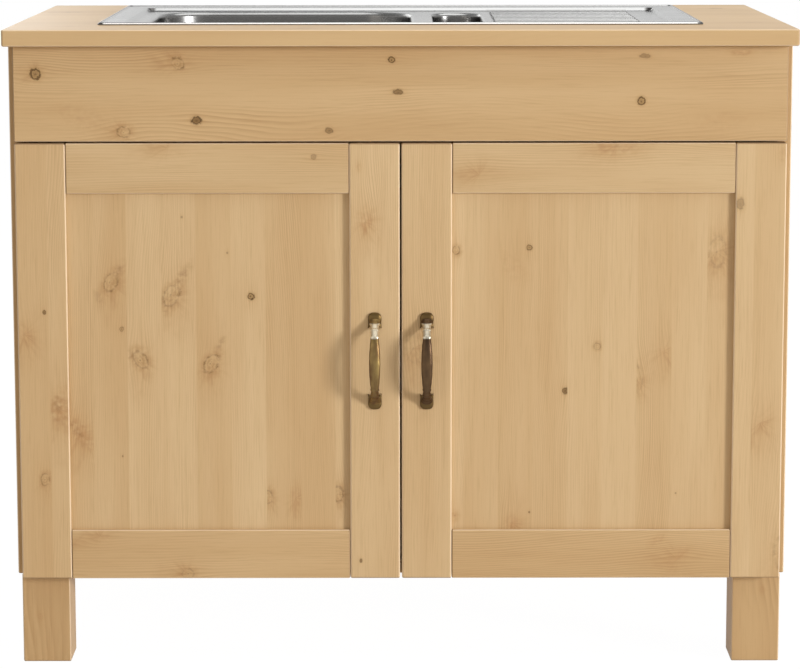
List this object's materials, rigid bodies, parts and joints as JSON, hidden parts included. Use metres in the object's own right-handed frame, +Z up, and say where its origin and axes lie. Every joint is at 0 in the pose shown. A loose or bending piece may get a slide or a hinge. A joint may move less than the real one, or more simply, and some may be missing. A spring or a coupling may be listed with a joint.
{
  "type": "sink base cabinet",
  "caption": "Free-standing sink base cabinet in knotty pine with framed doors, bow handles, square legs and an inset steel sink with a main bowl, a half bowl and a ribbed drainer.",
  "frame": {"origin": "on the floor under the middle of the whole cabinet's box, handles included", "axes": "+X to the right seen from the front, along the worktop; +Y to the back, so the doors face -Y; +Z up"},
  "size_m": [1, 0.611, 0.8284],
  "materials": {
    "pine": "knotty pine, satin lacquer",
    "pine_worktop": "pale glued pine boards, satin lacquer",
    "back_board": "thin plywood, unfinished",
    "stainless_steel": "fine linen-brushed stainless steel",
    "zinc_steel": "bright zinc plate",
    "antique_bronze": "dark antique bronze, rubbed bright on the edges",
    "white_plastic": "moulded polypropylene",
    "soft_grey": "soft foam and rubber"
  },
  "bodies": {
    "cabinet": {"side_panel_left": "pine", "side_panel_right": "pine", "bottom_panel": "pine", "front_rail": "pine", "rear_rail": "pine", "apron_panel": "pine", "back_panel": "back_board", "leg_front_left": "pine", "leg_rear_left": "pine", "leg_front_right": "pine", "leg_rear_right": "pine", "shelf": "pine", "shelf_pin_front_left": "zinc_steel", "shelf_pin_rear_left": "zinc_steel", "shelf_pin_front_right": "zinc_steel", "shelf_pin_rear_right": "zinc_steel", "worktop": "pine_worktop", "left_hinge_arm_lower": "zinc_steel", "left_hinge_arm_upper": "zinc_steel", "right_hinge_arm_lower": "zinc_steel", "right_hinge_arm_upper": "zinc_steel", "sink_deck": "stainless_steel", "main_bowl": "stainless_steel", "half_bowl": "stainless_steel", "sink_seal": "soft_grey", "sink_clip_front_left": "zinc_steel", "sink_clip_rear_left": "zinc_steel", "sink_clip_front_right": "zinc_steel", "sink_clip_rear_right": "zinc_steel", "waste_body": "white_plastic", "waste_nut": "white_plastic", "half_bowl_waste": "white_plastic", "overflow_head": "white_plastic", "overflow_pipe": "white_plastic", "link_pipe": "white_plastic"},
    "left_door": {"left_door_outer_stile": "pine", "left_door_inner_stile": "pine", "left_door_top_rail": "pine", "left_door_bottom_rail": "pine", "left_door_panel": "pine", "left_hinge_cup_lower": "zinc_steel", "left_hinge_cup_upper": "zinc_steel", "left_handle": "antique_bronze", "left_handle_screw_lower": "zinc_steel", "left_handle_screw_upper": "zinc_steel", "left_door_bumper": "soft_grey"},
    "right_door": {"right_door_outer_stile": "pine", "right_door_inner_stile": "pine", "right_door_top_rail": "pine", "right_door_bottom_rail": "pine", "right_door_panel": "pine", "right_hinge_cup_lower": "zinc_steel", "right_hinge_cup_upper": "zinc_steel", "right_handle": "antique_bronze", "right_handle_screw_lower": "zinc_steel", "right_handle_screw_upper": "zinc_steel", "right_door_bumper": "soft_grey"},
    "basket": {"strainer_basket": "stainless_steel"}
  },
  "joints": [
    {"name": "left_door_swing", "type": "hinge", "parent": "cabinet", "child": "left_door", "pos_m": [-0.4818, -0.263, 0.3985], "axis": [0, 0, -1], "range_deg": [0, 95]},
    {"name": "right_door_swing", "type": "hinge", "parent": "cabinet", "child": "right_door", "pos_m": [0.4818, -0.263, 0.3985], "axis": [0, 0, 1], "range_deg": [0, 95]},
    {"name": "basket_lift", "type": "slide", "parent": "cabinet", "child": "basket", "axis": [0, 0, 1], "range_m": [0, 0.06]}
  ]
}
